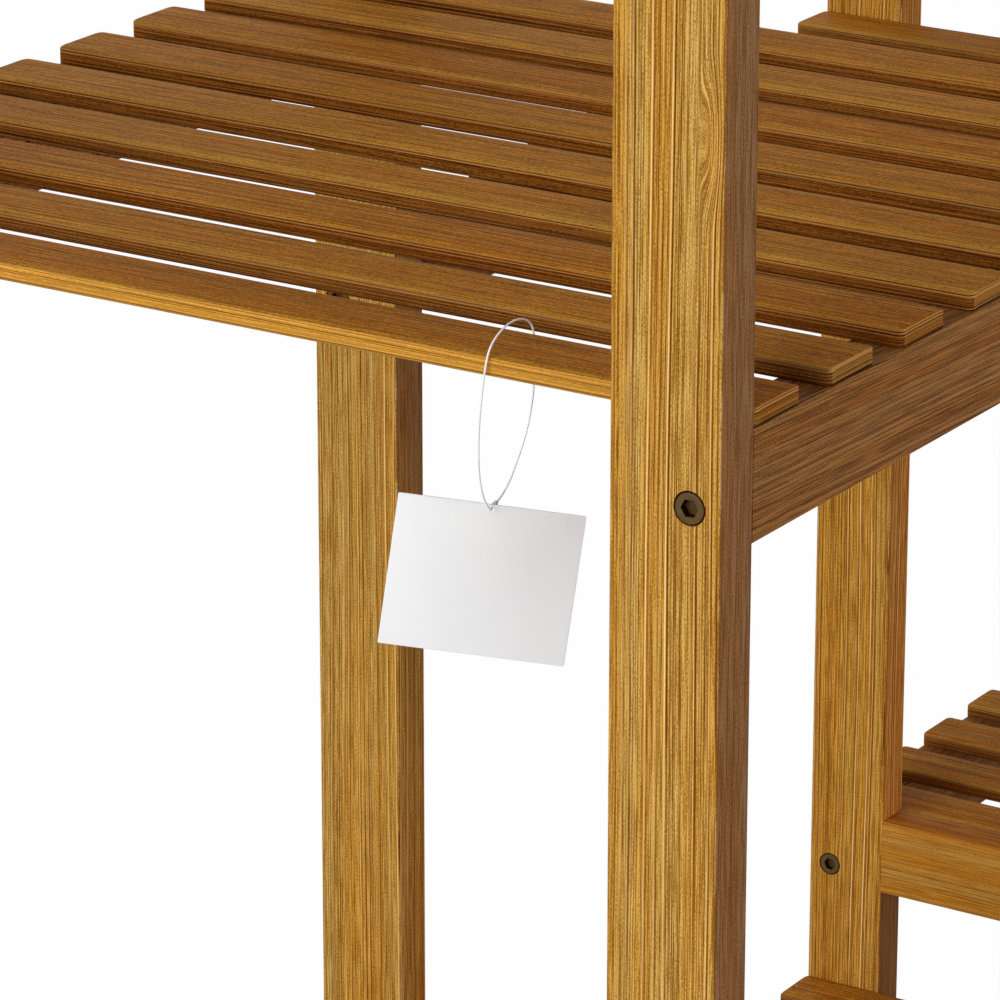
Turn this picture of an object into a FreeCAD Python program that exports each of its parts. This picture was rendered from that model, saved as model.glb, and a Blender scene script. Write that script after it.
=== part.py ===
import FreeCAD, Part
import math
import os
import re

from FreeCAD import Placement, Rotation, Vector

# Slatted wooden shelving unit with three bays and seven staggered shelves.
# Frame: X along the unit from its left end, Y from front to back, Z up.
# Origin: centre of the footprint, on the floor. Lengths are in millimetres.

doc = FreeCAD.newDocument("slatted_shelving_unit")

# Driving dimensions

SIZES = (
    ("unit_depth", 400, "outside of the front posts to outside of the back posts"),
    ("bay_pitch", 386, "from one frame of posts to the next"),
    ("post_width", 36, "post, along the depth"),
    ("post_thickness", 18, "post, along the unit"),
    ("outer_low_level", 207, "rail tops of the low shelves in bays 1 and 3"),
    ("outer_mid_level", 675, "rail tops of the middle shelves in bays 1 and 3"),
    ("top_level", 1143, "rail tops of the top shelf in bay 1"),
    ("centre_low_level", 125, "rail tops of the low shelf in bay 2"),
    ("centre_mid_level", 572, "rail tops of the middle shelf in bay 2"),
    ("rail_thickness", 18, "side rail, along the depth"),
    ("rail_height", 34, "side rail"),
    ("cross_rail_thickness", 18, "cross rail, along the unit"),
    ("cross_rail_height", 34, "cross rail"),
    ("edge_bevel", 0.9, "bevel of the long edges of posts and rails"),
    ("slat_width", 26, "slat, along the unit"),
    ("slat_thickness", 6, "slat"),
    ("slat_end_clearance", 0.25, "between the outer slats and the posts"),
    ("slat_corner_bevel", 1.8, "bevel of the slat corners seen from above"),
    ("bolt_inset", 10, "bolt axis from the outer face of post and rail"),
    ("bolt_drop", 20, "bolt axis below the top of its rail"),
    ("bolt_diameter", 6, "bolt shank"),
    ("bolt_reach", 33, "bolt shank beyond the post, inside the rail"),
    ("bolt_head_diameter", 10, "bolt head"),
    ("bolt_head_height", 5, "bolt head"),
    ("bolt_socket_flats", 5, "hexagon socket across flats"),
    ("bolt_socket_depth", 2.6, "hexagon socket"),
    ("bolt_clearance", 0.2, "round the shank and round the head"),
    ("nut_diameter", 10, "barrel nut"),
    ("nut_length", 12, "barrel nut"),
    ("nut_setback", 27, "barrel nut axis from the end of the rail"),
    ("nut_clearance", 0.1, "round the barrel nut and in its thread"),
    ("dowel_diameter", 8, "dowel"),
    ("dowel_length", 30, "dowel"),
    ("dowel_spacing", 18, "between the two dowels of a cross rail end"),
    ("dowel_clearance", 0.05, "round the dowel"),
    ("dowel_end_clearance", 0.5, "beyond each end of the dowel"),
    ("tag_width", 55, "hang tag card"),
    ("tag_height", 47, "hang tag card"),
    ("tag_thickness", 0.5, "hang tag card"),
    ("tag_corner_bevel", 0.6, "hang tag card"),
    ("tag_eye_diameter", 1.6, "eye in the card"),
    ("tag_eye_drop", 1.7, "middle of the eye below the top edge of the card"),
    ("tag_inset", 93, "middle of the eye from the outside of the front posts"),
    ("tag_setback", 10, "middle of the eye behind the edge of the slat it hangs from"),
    ("tag_hang", 50.3, "middle of the eye below the top of the slat it hangs from"),
    ("loop_diameter", 0.6, "nylon loop"),
    ("lock_diameter", 1.6, "moulded lock that joins the ends of the loop"),
    ("lock_length", 2.4, "moulded lock that joins the ends of the loop"),
)
SLAT_COUNT = 9
BAY_COUNT = 3

# Round pieces and bores are drawn with flat sides: more on the bolt heads and their
# seats, which show, than on what lies inside the wood.

HEAD_SIDES = 12
INNER_SIDES = 8
SMALL_SIDES = 6

ALIASES = {alias: f"Sizes.{alias}" for alias, _, _ in SIZES}

sheet = doc.addObject("Spreadsheet::Sheet", "Sizes")
for row, (alias, value, note) in enumerate(SIZES, start=1):
    sheet.set(f"A{row}", alias)
    sheet.set(f"B{row}", str(value))
    sheet.set(f"C{row}", note)
    sheet.setAlias(f"B{row}", alias)
doc.recompute()


def size(alias):
    """The value that the sheet holds under an alias."""
    return float(sheet.get(alias))


def bind(obj, **formulas):
    """Binds properties of an object to formulas in the sheet's aliases."""
    for prop, formula in formulas.items():
        text = re.sub(r"[a-z]\w+", lambda word: ALIASES.get(word[0], word[0]), formula)
        obj.setExpression(prop.replace("__", "."), text)


def seat(obj, x="0", y="0", z="0"):
    """Binds the place of an object to three formulas."""
    bind(obj, Placement__Base__x=x, Placement__Base__y=y, Placement__Base__z=z)


def feature(body, kind, name, turn=None, **formulas):
    """Adds a primitive to a body, turned and then bound to formulas."""
    made = body.newObject(f"PartDesign::{kind}", name)
    if turn:
        made.Placement = Placement(Vector(), turn)
    bind(made, **formulas)
    return made


def new_body(label):
    body = doc.addObject("PartDesign::Body", label)
    body.Label = label
    return body


def edges_along(shape, axis):
    """Names of the straight edges that run along an axis, on a shape still uncut."""
    names = []
    for number, edge in enumerate(shape.Edges, start=1):
        way = edge.lastVertex().Point - edge.firstVertex().Point
        if abs(abs(way.normalize().dot(axis)) - 1) < 1e-6:
            names.append(f"Edge{number}")
    return names


def stick(label, axis, bevel_size, **formulas):
    """A straight flat-sided piece with the edges along one axis bevelled."""
    body = new_body(label)
    stock = feature(body, "AdditiveBox", f"{label}_stock", **formulas)
    doc.recompute()
    bevel = body.newObject("PartDesign::Chamfer", f"{label}_bevel")
    bevel.Base = (stock, edges_along(stock.Shape, axis))
    bind(bevel, Size=bevel_size)
    return body


def rod(body, name, sides, radius, length, turn=None, **place):
    """Adds a straight rod to a body."""
    made = feature(body, "AdditivePrism", name, turn, Circumradius=radius, Height=length, **place)
    made.Polygon = sides
    return made


def bore(body, name, sides, radius, depth, turn=None, **place):
    """Takes a straight bore out of a body."""
    made = feature(body, "SubtractivePrism", name, turn, Circumradius=radius, Height=depth, **place)
    made.Polygon = sides
    return made


ALONG, ACROSS, UP = Vector(1, 0, 0), Vector(0, 1, 0), Vector(0, 0, 1)
TURN_TO_ALONG = Rotation(UP, ALONG)
TURN_TO_BACKWARDS = Rotation(UP, -ALONG)
TURN_TO_ACROSS = Rotation(UP, ACROSS)

# Layout of frames and shelves

UNIT_LENGTH = f"( {BAY_COUNT} * bay_pitch + post_thickness )"
FRAME_TOPS = ("top_level", "top_level", "outer_mid_level", "outer_mid_level")
SHELVES = (
    ("bay1_low", 0, "outer_low_level"),
    ("bay1_mid", 0, "outer_mid_level"),
    ("bay1_top", 0, "top_level"),
    ("bay2_low", 1, "centre_low_level"),
    ("bay2_mid", 1, "centre_mid_level"),
    ("bay3_low", 2, "outer_low_level"),
    ("bay3_mid", 2, "outer_mid_level"),
)
SIDES = (("front", -1), ("back", 1))


def frame_x(index):
    """The left face of a frame's posts."""
    return f"{index} * bay_pitch - {UNIT_LENGTH} / 2"


def shelf_levels(bay):
    """The rail top levels of the shelves in a bay."""
    return [level for _, shelf_bay, level in SHELVES if shelf_bay == bay]


def outer_y(side):
    """The outer face of the posts and rails on one side."""
    return f"{side} * unit_depth / 2"


def bolt_y(side):
    """The line of bolts on one side."""
    return f"{side} * ( unit_depth / 2 - bolt_inset )"


# Posts: upright sticks, each with a counterbored hole for every rail end that it holds
# and two dowel holes for every cross rail.


def post_bolts(body, label, side, levels, face, turn):
    """Bolt holes that enter one wide face of a post."""
    inset = "bolt_inset" if side < 0 else "( post_width - bolt_inset )"
    for number, level in enumerate(levels, start=1):
        for part, sides, radius, depth in (
            ("hole", INNER_SIDES, "bolt_diameter / 2 + bolt_clearance", "post_thickness"),
            ("seat", HEAD_SIDES, "bolt_head_diameter / 2 + bolt_clearance", "bolt_head_height"),
        ):
            bore(
                body,
                f"{label}_{part}_{number}",
                sides,
                radius,
                depth,
                turn,
                Placement__Base__x=face,
                Placement__Base__y=inset,
                Placement__Base__z=f"{level} - bolt_drop",
            )


def dowel_holes(body, label, turn, heights, **place):
    """Dowel holes for one end of a cross rail."""
    for number, height in enumerate(heights, start=1):
        bore(
            body,
            f"{label}_{number}",
            SMALL_SIDES,
            "dowel_diameter / 2 + dowel_clearance",
            "dowel_length / 2 + dowel_end_clearance",
            turn,
            Placement__Base__z=height,
            **place,
        )


def dowel_heights(top):
    """The two dowel levels of a cross rail whose top is given."""
    middle = f"{top} - cross_rail_height / 2"
    return [f"{middle} - dowel_spacing / 2", f"{middle} + dowel_spacing / 2"]


def cross_rail_tops(index):
    """Each frame has one cross rail level with the low shelves and one at its head."""
    return [
        ("low", "outer_low_level + slat_thickness"),
        ("head", f"{FRAME_TOPS[index]} + slat_thickness"),
    ]


def post(index, side_name, side):
    label = f"post_{side_name}_{index + 1}"
    body = stick(
        label,
        UP,
        "edge_bevel",
        Length="post_thickness",
        Width="post_width",
        Height=f"{FRAME_TOPS[index]} + slat_thickness",
    )
    if index < BAY_COUNT:
        post_bolts(body, f"{label}_right", side, shelf_levels(index), "0", TURN_TO_ALONG)
    if index > 0:
        levels = shelf_levels(index - 1)
        post_bolts(body, f"{label}_left", side, levels, "post_thickness", TURN_TO_BACKWARDS)
    inner = "post_width" if side < 0 else "0"
    turn = Rotation(UP, ACROSS * side)
    for name, top in cross_rail_tops(index):
        dowel_holes(
            body,
            f"{label}_{name}_dowel",
            turn,
            dowel_heights(top),
            Placement__Base__x="post_thickness / 2",
            Placement__Base__y=inner,
        )
    y = outer_y(side) if side < 0 else f"{outer_y(side)} - post_width"
    seat(body, x=frame_x(index), y=y)
    return body


# Cross rails: they tie the front and back post of a frame together.


def cross_rail(index, name, top):
    label = f"cross_rail_{name}_{index + 1}"
    length = "( unit_depth - 2 * post_width )"
    body = stick(
        label,
        ACROSS,
        "edge_bevel",
        Length="cross_rail_thickness",
        Width=length,
        Height="cross_rail_height",
    )
    for end, turn, y in (("front", TURN_TO_ACROSS, "0"), ("back", Rotation(UP, -ACROSS), length)):
        dowel_holes(
            body,
            f"{label}_{end}_dowel",
            turn,
            dowel_heights("cross_rail_height"),
            Placement__Base__x="cross_rail_thickness / 2",
            Placement__Base__y=y,
        )
    x = f"{frame_x(index)} + ( post_thickness - cross_rail_thickness ) / 2"
    seat(body, x=x, y="post_width - unit_depth / 2", z=f"{top} - cross_rail_height")
    return body


# Side rails: each carries one side of a shelf between two frames. A bolt enters each end
# and meets a barrel nut, which sits in a blind hole drilled from the rail's inner face.

RAIL_LENGTH = "( bay_pitch - post_thickness )"


def side_rail(name, bay, level, side_name, side):
    label = f"rail_{side_name}_{name}"
    body = stick(
        label,
        ALONG,
        "edge_bevel",
        Length=RAIL_LENGTH,
        Width="rail_thickness",
        Height="rail_height",
    )
    inset = "bolt_inset" if side < 0 else "( rail_thickness - bolt_inset )"
    inner = "rail_thickness" if side < 0 else "0"
    depth = "rail_thickness - bolt_inset + nut_length / 2"
    for end, turn, x, nut_x in (
        ("left", TURN_TO_ALONG, "0", "nut_setback"),
        ("right", TURN_TO_BACKWARDS, RAIL_LENGTH, f"{RAIL_LENGTH} - nut_setback"),
    ):
        bore(
            body,
            f"{label}_{end}_bolt_hole",
            INNER_SIDES,
            "bolt_diameter / 2 + bolt_clearance",
            "bolt_reach + bolt_diameter / 2",
            turn,
            Placement__Base__x=x,
            Placement__Base__y=inset,
            Placement__Base__z="rail_height - bolt_drop",
        )
        bore(
            body,
            f"{label}_{end}_nut_hole",
            INNER_SIDES,
            "nut_diameter / 2 + nut_clearance",
            depth,
            Rotation(UP, ACROSS * side),
            Placement__Base__x=nut_x,
            Placement__Base__y=inner,
            Placement__Base__z="rail_height - bolt_drop",
        )
    y = outer_y(side) if side < 0 else f"{outer_y(side)} - rail_thickness"
    seat(body, x=f"{frame_x(bay)} + post_thickness", y=y, z=f"{level} - rail_height")
    return body


# Slats: thin boards with eased corners, laid across the two rails of a shelf and glued
# down. The slats of one shelf are a group.


def slats(name, bay, level):
    label = f"slats_{name}"
    body = stick(
        label,
        UP,
        "slat_corner_bevel",
        Length="slat_width",
        Width="unit_depth",
        Height="slat_thickness",
    )
    doc.recompute()
    row = body.newObject("PartDesign::LinearPattern", f"{label}_row")
    row.TransformMode = "Whole shape"
    row.Direction = (body.Origin.OriginFeatures[0], [""])
    row.Mode = "Extent"
    row.Occurrences = SLAT_COUNT
    bind(row, Length=f"{RAIL_LENGTH} - 2 * slat_end_clearance - slat_width")
    body.Tip = row
    x = f"{frame_x(bay)} + post_thickness + slat_end_clearance"
    seat(body, x=x, y="- unit_depth / 2", z=level)
    return body


# Fasteners: one pattern piece of each kind, placed at every seat by links.


def bolt_pattern_piece():
    """Socket head bolt, its head's top at the origin and its shank upwards."""
    body = new_body("bolt_pattern_piece")
    rod(body, "bolt_head", HEAD_SIDES, "bolt_head_diameter / 2", "bolt_head_height")
    rod(body, "bolt_shank", INNER_SIDES, "bolt_diameter / 2", "post_thickness + bolt_reach")
    bore(body, "bolt_socket", 6, "bolt_socket_flats / sqrt( 3 )", "bolt_socket_depth")
    return body


def nut_pattern_piece():
    """Barrel nut, its axis up and its thread along X."""
    body = new_body("nut_pattern_piece")
    rod(
        body,
        "nut_barrel",
        INNER_SIDES,
        "nut_diameter / 2",
        "nut_length",
        Placement__Base__z="- nut_length / 2",
    )
    bore(
        body,
        "nut_thread",
        INNER_SIDES,
        "bolt_diameter / 2 + nut_clearance",
        "2 * nut_diameter",
        TURN_TO_ALONG,
        Placement__Base__x="- nut_diameter",
    )
    return body


def dowel_pattern_piece():
    """Dowel, its axis up and its middle at the origin."""
    body = new_body("dowel_pattern_piece")
    rod(
        body,
        "dowel_stick",
        SMALL_SIDES,
        "dowel_diameter / 2",
        "dowel_length",
        Placement__Base__z="- dowel_length / 2",
    )
    return body


def group(label, piece, seats):
    """A group of like pieces: a link to the pattern piece at each seat."""
    links = []
    for number, (turn, x, y, z) in enumerate(seats, start=1):
        link = doc.addObject("App::Link", f"{label}_{number}")
        link.LinkedObject = piece
        link.Placement = Placement(Vector(), turn)
        seat(link, x=x, y=y, z=z)
        links.append(link)
    made = doc.addObject("Part::Compound", label)
    made.Label = label
    made.Links = links
    return made


def bolt_seats(index):
    """Bolts of one frame: into the bay on its right and into the bay on its left."""
    seats = []
    for _, side in SIDES:
        if index < BAY_COUNT:
            for level in shelf_levels(index):
                x = frame_x(index)
                seats.append((TURN_TO_ALONG, x, bolt_y(side), f"{level} - bolt_drop"))
        if index > 0:
            for level in shelf_levels(index - 1):
                x = f"{frame_x(index)} + post_thickness"
                seats.append((TURN_TO_BACKWARDS, x, bolt_y(side), f"{level} - bolt_drop"))
    return seats


def nut_seats(bay):
    """Barrel nuts of one bay: one near each end of each rail."""
    seats = []
    for _, side in SIDES:
        for level in shelf_levels(bay):
            for x in (
                f"{frame_x(bay)} + post_thickness + nut_setback",
                f"{frame_x(bay + 1)} - nut_setback",
            ):
                seats.append((TURN_TO_ACROSS, x, bolt_y(side), f"{level} - bolt_drop"))
    return seats


def dowel_seats(index):
    """Dowels of one frame: two at each end of each cross rail."""
    seats = []
    for _, side in SIDES:
        for _, top in cross_rail_tops(index):
            for height in dowel_heights(top):
                x = f"{frame_x(index)} + post_thickness / 2"
                y = f"{side} * ( unit_depth / 2 - post_width )"
                seats.append((TURN_TO_ACROSS, x, y, height))
    return seats


# Hang tag: a card on a closed nylon loop, which lies over the first slat of the middle
# shelf in bay 1 and comes up again through the gap behind that slat. Its places are
# measured from the slat's top edge, level with the eye.

TAG_EDGE_X = f"{frame_x(0)} + post_thickness + slat_end_clearance"
TAG_EDGE_Y = "tag_inset - unit_depth / 2"
TAG_EDGE_Z = "outer_mid_level + slat_thickness"
TAG_TURN = -57.5
TAG_LEAN = 7.9


def tag_card():
    """The card, its eye at the origin, with the hole pierced from front to back."""
    body = stick(
        "tag_card",
        ACROSS,
        "tag_corner_bevel",
        Length="tag_width",
        Width="tag_thickness",
        Height="tag_height",
        Placement__Base__x="- tag_width / 2",
        Placement__Base__y="- tag_thickness / 2",
        Placement__Base__z="tag_eye_drop - tag_height",
    )
    bore(
        body,
        "tag_eye",
        HEAD_SIDES,
        "tag_eye_diameter / 2",
        "2 * tag_thickness",
        TURN_TO_ACROSS,
        Placement__Base__y="- tag_thickness",
    )
    turn = Rotation(UP, TAG_TURN) * Rotation(ACROSS, TAG_LEAN)
    body.Placement = Placement(Vector(), turn)
    seat(
        body,
        x=f"{TAG_EDGE_X} + tag_setback",
        y=TAG_EDGE_Y,
        z=f"{TAG_EDGE_Z} - tag_hang",
    )
    return body


# Route of the loop from the lower end of its lock, through the eye of the card, up before
# the slat, over it and down behind it to the upper end of the lock.

LOOP_ROUTE = [
    Vector(12.83, 0.55, -49.6),
    Vector(11.3, 0.8, -50.3),
    Vector(8.7, -0.8, -50.3),
    Vector(5.2, -0.7, -46.8),
    Vector(1.2, -1.4, -39),
    Vector(-1.2, -2.5, -29),
    Vector(-2.2, -3.6, -18),
    Vector(-2, -4.8, -7),
    Vector(-0.6, -5.5, 1.6),
    Vector(3.8, -5.8, 5.6),
    Vector(10.8, -5.9, 7.6),
    Vector(18, -5.5, 6.6),
    Vector(24.4, -4.9, 3.5),
    Vector(27.8, -4.2, -1.6),
    Vector(29, -3.6, -11),
    Vector(29.2, -3, -21),
    Vector(27.6, -2.2, -31),
    Vector(23.8, -1.2, -40.1),
    Vector(19.04, -0.48, -46.77),
]
LOCK_WAY = Vector(0.9, -0.15, 0.41)
ARC_SHARE = 0.45
STEP_TURN = 0.2
STEP_SAG = 0.05


def smooth_path(points):
    """Straight runs joined by tangent arcs, and the radius of each arc."""
    edges = []
    radii = []
    start = points[0]
    for before, corner, after in zip(points, points[1:], points[2:]):
        back = (before - corner).normalize()
        onward = (after - corner).normalize()
        half_turn = (math.pi - back.getAngle(onward)) / 2
        cut = ARC_SHARE * min(before.distanceToPoint(corner), after.distanceToPoint(corner))
        radius = cut / math.tan(half_turn)
        inward = (back + onward).normalize()
        middle = corner + inward * (math.hypot(radius, cut) - radius)
        arc = Part.Arc(corner + back * cut, middle, corner + onward * cut)
        edges.append(Part.LineSegment(start, corner + back * cut).toShape())
        edges.append(arc.toShape())
        radii.append(radius)
        start = corner + onward * cut
    edges.append(Part.LineSegment(start, points[-1]).toShape())
    return Part.Wire(edges), radii


def mitred_tube(points, section):
    """A solid tube along straight runs, mitred at each corner."""
    rings = [section]
    for before, corner, after in zip(points, points[1:], [*points[2:], None]):
        way = (corner - before).normalize()
        across = way if after is None else way + (after - corner).normalize()
        lean = way.dot(across)
        rings.append([spot + way * ((corner - spot).dot(across) / lean) for spot in rings[-1]])
    faces = [Part.Face(Part.makePolygon([*ring, ring[0]])) for ring in (rings[0], rings[-1])]
    for lower, upper in zip(rings, rings[1:]):
        for k in range(len(section)):
            side = [lower[k - 1], lower[k], upper[k], upper[k - 1], lower[k - 1]]
            faces.append(Part.Face(Part.makePolygon(side)))
    tube = Part.Solid(Part.Shell(faces))
    if tube.Volume < 0:
        tube.reverse()
    return tube


def tag_loop():
    """The nylon loop, open at its lock, drawn in short straight steps along its route."""
    lock_end = LOOP_ROUTE[0] + LOCK_WAY * (size("lock_length") / LOCK_WAY.Length)
    smooth, radii = smooth_path([*LOOP_ROUTE, lock_end])
    points = smooth.discretize(Angular=STEP_TURN, Curvature=STEP_SAG)
    ring = Part.Circle(LOOP_ROUTE[0], LOOP_ROUTE[1] - LOOP_ROUTE[0], size("loop_diameter") / 2)
    section = ring.toShape().discretize(SMALL_SIDES + 1)[:-1]
    tube = mitred_tube(points, section)
    print("loop length", round(smooth.Length, 2), "radii", [round(radius, 2) for radius in radii])
    print("loop steps", len(points) - 1, "volume", round(tube.Volume, 3))
    loop = doc.addObject("Part::Feature", "tag_loop")
    loop.Label = "tag_loop"
    loop.Shape = tube
    seat(loop, x=TAG_EDGE_X, y=TAG_EDGE_Y, z=TAG_EDGE_Z)
    return loop


def tag_lock():
    """The lock, a short barrel that holds both ends of the loop."""
    lock = doc.addObject("Part::Prism", "tag_lock")
    lock.Label = "tag_lock"
    lock.Polygon = SMALL_SIDES
    lock.Placement = Placement(Vector(), Rotation(UP, LOCK_WAY))
    bind(lock, Circumradius="lock_diameter / 2", Height="lock_length")
    lower = LOOP_ROUTE[0]
    seat(
        lock,
        x=f"{TAG_EDGE_X} + ( {lower.x} )",
        y=f"{TAG_EDGE_Y} + ( {lower.y} )",
        z=f"{TAG_EDGE_Z} + ( {lower.z} )",
    )
    return lock


# Assembly

made = []
for frame_number in range(BAY_COUNT + 1):
    for side_word, side_sign in SIDES:
        made.append(post(frame_number, side_word, side_sign))
    for rail_word, rail_top in cross_rail_tops(frame_number):
        made.append(cross_rail(frame_number, rail_word, rail_top))
for shelf_name, shelf_bay, shelf_level in SHELVES:
    for side_word, side_sign in SIDES:
        made.append(side_rail(shelf_name, shelf_bay, shelf_level, side_word, side_sign))
    made.append(slats(shelf_name, shelf_bay, shelf_level))
bolt_piece = bolt_pattern_piece()
nut_piece = nut_pattern_piece()
dowel_piece = dowel_pattern_piece()
doc.recompute()
for frame_number in range(BAY_COUNT + 1):
    made.append(group(f"bolts_frame_{frame_number + 1}", bolt_piece, bolt_seats(frame_number)))
    made.append(group(f"dowels_frame_{frame_number + 1}", dowel_piece, dowel_seats(frame_number)))
for bay_number in range(BAY_COUNT):
    made.append(group(f"barrel_nuts_bay_{bay_number + 1}", nut_piece, nut_seats(bay_number)))
made.append(tag_card())
made.append(tag_loop())
made.append(tag_lock())

doc.recompute()
for obj in doc.Objects:
    if "Invalid" in obj.State or "Error" in obj.State:
        raise RuntimeError(f"{obj.Label} did not compute: {obj.State}")
os.makedirs("parts", exist_ok=True)
for piece in made:
    shape = piece.Shape
    if shape.isNull() or not shape.isValid():
        raise RuntimeError(f"{piece.Label} has no valid shape")
    shape.exportStep(f"parts/{piece.Label}.step")
print(len(made), "pieces written")
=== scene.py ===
import math
import random

import bmesh
import bpy
from mathutils import Matrix, Vector


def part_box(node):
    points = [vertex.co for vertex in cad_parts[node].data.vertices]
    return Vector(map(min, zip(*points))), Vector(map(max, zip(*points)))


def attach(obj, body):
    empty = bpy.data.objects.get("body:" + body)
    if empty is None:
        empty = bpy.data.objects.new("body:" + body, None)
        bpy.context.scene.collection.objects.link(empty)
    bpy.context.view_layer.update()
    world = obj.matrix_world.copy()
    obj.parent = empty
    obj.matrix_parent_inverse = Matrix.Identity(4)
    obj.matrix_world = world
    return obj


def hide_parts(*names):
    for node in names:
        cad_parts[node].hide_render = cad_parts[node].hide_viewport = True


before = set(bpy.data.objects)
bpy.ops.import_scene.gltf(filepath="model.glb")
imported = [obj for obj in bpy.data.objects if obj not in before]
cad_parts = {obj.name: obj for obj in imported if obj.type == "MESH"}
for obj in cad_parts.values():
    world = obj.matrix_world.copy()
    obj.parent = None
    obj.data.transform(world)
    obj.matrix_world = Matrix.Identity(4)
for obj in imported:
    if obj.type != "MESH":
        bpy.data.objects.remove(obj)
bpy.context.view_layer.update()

# Camera
# A long lens from the front left that looks down on the middle shelf, so that the upright
# lines stay nearly parallel and only one corner of the unit fills the square frame.

CAMERA_PLACE = Vector((-1.8623, -0.9409, 1.17324))
CAMERA_WAY = Vector((0.79597, 0.50787, -0.3294))
LENS = 203.687
SENSOR = 36
CLIP_START = 0.05
CLIP_END = 60

camera_data = bpy.data.cameras.new("camera")
camera_data.lens = LENS
camera_data.sensor_width = SENSOR
camera_data.clip_start = CLIP_START
camera_data.clip_end = CLIP_END
camera = bpy.data.objects.new("camera", camera_data)
bpy.context.scene.collection.objects.link(camera)
camera.location = CAMERA_PLACE
camera.rotation_euler = CAMERA_WAY.to_track_quat("-Z", "Y").to_euler()
bpy.context.scene.camera = camera
bpy.context.scene.view_settings.view_transform = "Standard"

# Loop of the hang tag
# A clear nylon filament, threaded through the eye of the card, up before the first slat
# of the shelf, over it and down through the gap behind it, to the lock beside the eye.

MM = 0.001
TAG_EDGE = Vector((-0.56975, -0.107, 0.681))
LOOP_DIAMETER = 0.0006
LOOP_ROUTE = [
    (12.83, 1.7, -50.5),
    (11.3, 0.8, -50.3),
    (8.7, -0.8, -50.3),
    (5.2, -0.7, -46.8),
    (1.2, -1.4, -39),
    (-1.2, -2.5, -29),
    (-2.2, -3.6, -18),
    (-2, -4.8, -7),
    (-0.6, -5.5, 1.6),
    (3.8, -5.8, 5.6),
    (10.8, -5.9, 7.6),
    (18, -5.3, 6.6),
    (24.4, -4.3, 3.5),
    (27.8, -3.3, -1.6),
    (29, -2.7, -11),
    (29.2, -2, -21),
    (27.6, -0.9, -31),
    (23.8, 0.3, -40.1),
    (19.04, 1.0, -47.4),
    (14.99, 1.34, -49.52),
]
NYLON_CLOUDED = (0.9, 0.92, 0.96)
NYLON_CLEAR = (0.95, 0.97, 1.0)


def material(name):
    """A new material: its node tree and its shader."""
    made = bpy.data.materials.new(name)
    made.use_nodes = True
    return made, made.node_tree, made.node_tree.nodes["Principled BSDF"]


def add(tree, kind, inputs=(), **settings):
    """A node with its settings made and its inputs filled or linked."""
    node = tree.nodes.new("ShaderNode" + kind)
    for name, value in settings.items():
        setattr(node, name, value)
    for key, value in dict(inputs).items():
        if isinstance(value, bpy.types.NodeSocket):
            tree.links.new(value, node.inputs[key])
        else:
            node.inputs[key].default_value = value
    return node


def maths(tree, operation, first, second=0.0, third=0.0, clamp=False):
    """One step of arithmetic on values or sockets."""
    inputs = {0: first, 1: second, 2: third}
    node = add(tree, "Math", inputs, operation=operation, use_clamp=clamp)
    return node.outputs[0]


def rgba(colour):
    """A colour as a socket takes it, or the socket that gives it."""
    return colour if isinstance(colour, bpy.types.NodeSocket) else (*colour, 1)


def paint(tree, under, amount, over, way="MIX"):
    """A colour laid over another, in an amount from 0 to 1."""
    inputs = {"Fac": amount, "Color1": rgba(under), "Color2": rgba(over)}
    return add(tree, "MixRGB", inputs, blend_type=way).outputs[0]


def show(name, source, finish, body="unit", nodes=()):
    """Puts a mesh or curve in the scene, in its finish, on its body."""
    piece = bpy.data.objects.new(name, source)
    bpy.context.scene.collection.objects.link(piece)
    piece.data.materials.clear()
    piece.data.materials.append(finish)
    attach(piece, body)
    if nodes:
        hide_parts(*nodes)
    return piece


nylon, tree, shader = material("clear nylon")
place = add(tree, "TexCoord").outputs["Object"]
cloud = add(tree, "TexNoise", {"Vector": place, "Scale": 900}).outputs["Fac"]
tint = paint(tree, NYLON_CLOUDED, cloud, NYLON_CLEAR)
tree.links.new(tint, shader.inputs["Base Color"])
shader.inputs["Roughness"].default_value = 0.32
shader.inputs["Subsurface Weight"].default_value = 0.3
shader.inputs["Subsurface Radius"].default_value = (0.002, 0.002, 0.002)

line = bpy.data.curves.new("tag_loop", "CURVE")
line.dimensions = "3D"
line.bevel_depth = LOOP_DIAMETER / 2
line.bevel_resolution = 4
line.resolution_u = 10
spline = line.splines.new("NURBS")
spline.points.add(len(LOOP_ROUTE) - 1)
for point, spot in zip(spline.points, LOOP_ROUTE):
    point.co = (*(TAG_EDGE + Vector(spot) * MM), 1)
spline.order_u = 3
spline.use_endpoint_u = True
spline.use_smooth = True
loop = show("loop", line, nylon, nodes=["tag_loop"])

# Lock of the hang tag
# The small moulded nylon barrel beside the eye of the card. It grips both ends of the
# filament and so closes the loop.

LOCK_RADIUS = 0.0007
LOCK_LENGTH = 0.0022
LOCK_EASE = 0.00025
LEVEL = 0.0001
lock_way = Vector((0.9, -0.15, 0.41)).normalized()
lock_foot = TAG_EDGE + Vector(LOOP_ROUTE[0]) * MM


def drill(centre, axis, radius, depth, segments):
    """A cylinder about a centre, along one axis, as a bmesh."""
    made = bmesh.new()
    bmesh.ops.create_cone(
        made,
        cap_ends=True,
        segments=segments,
        radius1=radius,
        radius2=radius,
        depth=depth,
    )
    way = Vector((0, 0, 0))
    way[axis] = 1
    turned = way.to_track_quat("Z", "Y").to_matrix().to_4x4()
    bmesh.ops.transform(made, matrix=Matrix.Translation(centre) @ turned, verts=made.verts)
    return made


def edges_across(made, axis):
    """The edges of a bmesh whose two ends are level along an axis, 0, 1 or 2."""
    found = []
    for edge in made.edges:
        first, second = edge.verts
        if abs(first.co[axis] - second.co[axis]) < LEVEL:
            found.append(edge)
    return found


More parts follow.
